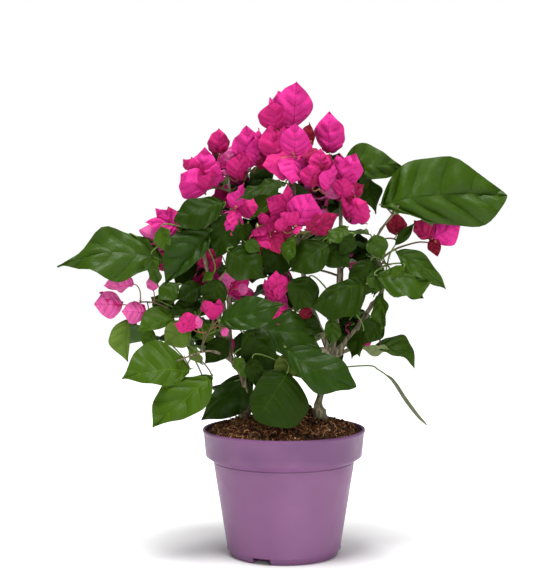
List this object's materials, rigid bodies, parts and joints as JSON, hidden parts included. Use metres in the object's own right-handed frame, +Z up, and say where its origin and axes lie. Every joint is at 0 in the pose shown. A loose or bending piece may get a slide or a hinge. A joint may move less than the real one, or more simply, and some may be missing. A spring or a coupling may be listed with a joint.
{
  "type": "bougainvillea shrub in a nursery pot",
  "caption": "Small flowering climber shrub: two woody stems, forked boughs, masses of glossy leaves and papery pink bracts, in a tapered plastic nursery pot filled with soil.",
  "frame": {"origin": "centre of the pot's flat foot, on the surface it stands on", "axes": "+Z up, -Y towards the viewer of the plant's front, +X to the viewer's right"},
  "size_m": [0.472, 0.1948, 0.5022],
  "materials": {
    "pot_plastic": "satin moulded polypropylene, mauve",
    "soil": "moist peat and coir with fibres",
    "bark": "grey-brown young bark, greener towards the tips",
    "leaf": "glossy dark green leaf",
    "blossom": "thin papery magenta bract"
  },
  "bodies": {
    "root": {"back_centre": "leaf", "back_left_crown": "leaf", "back_left_high": "leaf", "back_left_low": "leaf", "back_right_crown": "leaf", "back_right_high": "leaf", "back_right_low": "leaf", "bloom_far_left": "blossom", "bloom_heart": "blossom", "bloom_left_crest": "blossom", "bloom_left_edge": "blossom", "bloom_left_inner": "blossom", "bloom_left_shoulder": "blossom", "bloom_left_top": "blossom", "bloom_low": "blossom", "bloom_low_left": "blossom", "bloom_low_mid": "blossom", "bloom_mid_left": "blossom", "bloom_mid_top": "blossom", "bloom_right": "blossom", "bloom_right_pair": "blossom", "bloom_right_red": "blossom", "bloom_right_shoulder": "blossom", "bloom_top": "blossom", "bloom_top_right": "blossom", "bough_centre": "bark", "bough_front": "bark", "bough_left_back": "bark", "bough_left_crown": "bark", "bough_left_high": "bark", "bough_left_low": "bark", "bough_left_mid": "bark", "bough_right_back": "bark", "bough_right_crown": "bark", "bough_right_low": "bark", "bough_right_main": "bark", "leaf_centre_right": "leaf", "leaf_far_left": "leaf", "leaf_front": "leaf", "leaf_front_low": "leaf", "leaf_front_right": "leaf", "leaf_left_hang": "leaf", "leaf_left_low": "leaf", "leaf_left_low_upper": "leaf", "leaf_left_mid": "leaf", "leaf_left_upper": "leaf", "leaf_low_centre": "leaf", "leaf_low_left_back": "leaf", "leaf_mid_left": "leaf", "leaf_mid_right": "leaf", "leaf_right_arched": "leaf", "leaf_right_low": "leaf", "leaf_right_mid": "leaf", "leaf_right_sail": "leaf", "leaf_right_top": "leaf", "leaf_top_dark": "leaf", "pot": "pot_plastic", "soil": "soil", "stem_left": "bark", "stem_right": "bark"}
  },
  "joints": []
}
